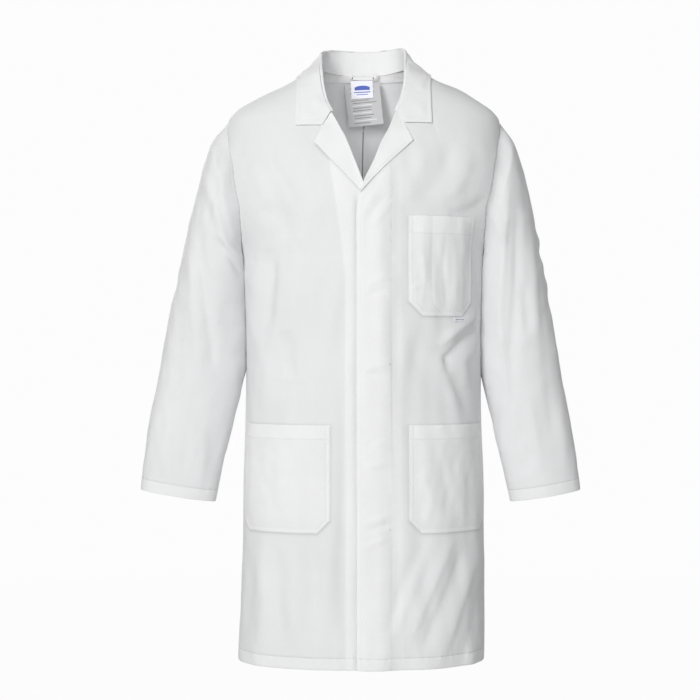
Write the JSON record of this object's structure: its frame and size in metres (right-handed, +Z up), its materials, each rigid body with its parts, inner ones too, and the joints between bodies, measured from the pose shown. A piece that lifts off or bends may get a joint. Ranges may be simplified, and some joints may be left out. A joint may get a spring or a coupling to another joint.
{
  "type": "lab coat",
  "caption": "Knee-length white laboratory coat with notched collar, long sleeves, concealed press-stud front, chest patch pocket, two lower patch pockets and a back vent.",
  "frame": {"origin": "the seat of the hanging loop inside the centre-back neck, where a hook bears", "axes": "+Z up, +X to the wearer's left, -Y to the wearer's front"},
  "size_m": [0.782, 0.307, 1.0878],
  "materials": {
    "twill": "2/1 twill weave, matt",
    "tape": "woven herringbone tape",
    "satin": "woven satin label",
    "care": "printed nylon label",
    "interlining": "fusible interlining",
    "nickel": "nickel plated"
  },
  "bodies": {
    "coat": {"front_left_side_panel": "twill", "front_right_side_panel": "twill", "chest_pocket": "twill", "lower_pocket_left_outer": "twill", "lower_pocket_right_outer": "twill", "back_left_panel": "twill", "back_right_panel": "twill", "collar_upper": "twill", "collar_interlining": "interlining", "collar_under": "twill", "neck_tape": "tape"},
    "left_front": {"front_left_panel": "twill", "front_left_facing": "twill", "fly_strip": "twill", "lapel_left": "twill", "chest_pocket_pen_side": "twill", "lower_pocket_left": "twill", "socket_1": "nickel", "socket_2": "nickel", "socket_3": "nickel", "socket_4": "nickel", "socket_5": "nickel", "socket_cap_1": "nickel", "socket_cap_2": "nickel", "socket_cap_3": "nickel", "socket_cap_4": "nickel", "socket_cap_5": "nickel"},
    "right_front": {"front_right_panel": "twill", "front_right_facing": "twill", "lapel_right": "twill", "lower_pocket_right": "twill", "press_stud_1": "nickel", "press_stud_2": "nickel", "press_stud_3": "nickel", "press_stud_4": "nickel", "press_stud_5": "nickel", "stud_rivet_1": "nickel", "stud_rivet_2": "nickel", "stud_rivet_3": "nickel", "stud_rivet_4": "nickel", "stud_rivet_5": "nickel"},
    "left_vent_corner": {"vent_left_corner": "twill"},
    "right_vent_corner": {"vent_right_corner": "twill"},
    "left_upper_sleeve": {"sleeve_left_upper": "twill"},
    "left_lower_sleeve": {"sleeve_left_lower": "twill", "cuff_hem_left": "twill"},
    "right_upper_sleeve": {"sleeve_right_upper": "twill"},
    "right_lower_sleeve": {"sleeve_right_lower": "twill", "cuff_hem_right": "twill"},
    "loop": {"hanging_loop": "tape"},
    "maker_label": {"neck_label": "satin"},
    "care_tag": {"care_label": "care"},
    "tag": {"pocket_tag": "satin"}
  },
  "joints": [
    {"name": "front_left_open", "type": "hinge", "parent": "coat", "child": "left_front", "pos_m": [0.088, -0.202, -0.106], "axis": [-0.1246, -0.0381, 0.9915], "range_deg": [0, 75]},
    {"name": "front_right_open", "type": "hinge", "parent": "coat", "child": "right_front", "pos_m": [-0.096, -0.202, -0.106], "axis": [-0.1246, 0.0381, -0.9915], "range_deg": [0, 45]},
    {"name": "shoulder_left", "type": "hinge", "parent": "coat", "child": "left_upper_sleeve", "pos_m": [0.242, -0.06, -0.092], "axis": [0, -1, 0], "range_deg": [0, 50]},
    {"name": "shoulder_right", "type": "hinge", "parent": "coat", "child": "right_upper_sleeve", "pos_m": [-0.244, -0.06, -0.092], "axis": [0, 1, 0], "range_deg": [0, 50]},
    {"name": "elbow_left", "type": "hinge", "parent": "left_upper_sleeve", "child": "left_lower_sleeve", "pos_m": [0.277, -0.1355, -0.465], "axis": [-0.9598, 0, -0.2806], "range_deg": [0, 90]},
    {"name": "elbow_right", "type": "hinge", "parent": "right_upper_sleeve", "child": "right_lower_sleeve", "pos_m": [-0.279, -0.1355, -0.465], "axis": [-0.9598, 0, 0.2806], "range_deg": [0, 90]},
    {"name": "vent_left_open", "type": "hinge", "parent": "coat", "child": "left_vent_corner", "pos_m": [0.10816, 0.07662, -1.0359], "axis": [0.3275, -0.0046, -0.9448], "range_deg": [0, 40]},
    {"name": "vent_right_open", "type": "hinge", "parent": "coat", "child": "right_vent_corner", "pos_m": [-0.11822, 0.07759, -1.03584], "axis": [0.3564, 0.0047, 0.9343], "range_deg": [0, 24]},
    {"name": "loop_lift", "type": "hinge", "parent": "coat", "child": "loop", "pos_m": [0, 0, 0.008], "axis": [-1, 0, 0], "range_deg": [0, 160]},
    {"name": "neck_label_lift", "type": "hinge", "parent": "coat", "child": "maker_label", "pos_m": [-0.001, 0.0032, -0.008], "axis": [-1, 0, 0], "range_deg": [0, 90]},
    {"name": "care_label_lift", "type": "hinge", "parent": "coat", "child": "care_tag", "pos_m": [0, 0.0054, -0.012], "axis": [-1, 0, 0], "range_deg": [0, 80]},
    {"name": "pocket_tag_lift", "type": "hinge", "parent": "coat", "child": "tag", "pos_m": [0.16327, -0.16545, -0.4423], "axis": [-0.7711, -0.6367, 0], "range_deg": [0, 85]}
  ],
  "couplings": [
    {"joint": "front_right_open", "follows": "front_left_open", "ratio": 0.6},
    {"joint": "vent_right_open", "follows": "vent_left_open", "ratio": 0.6},
    {"joint": "care_label_lift", "follows": "neck_label_lift", "ratio": 0.88}
  ]
}
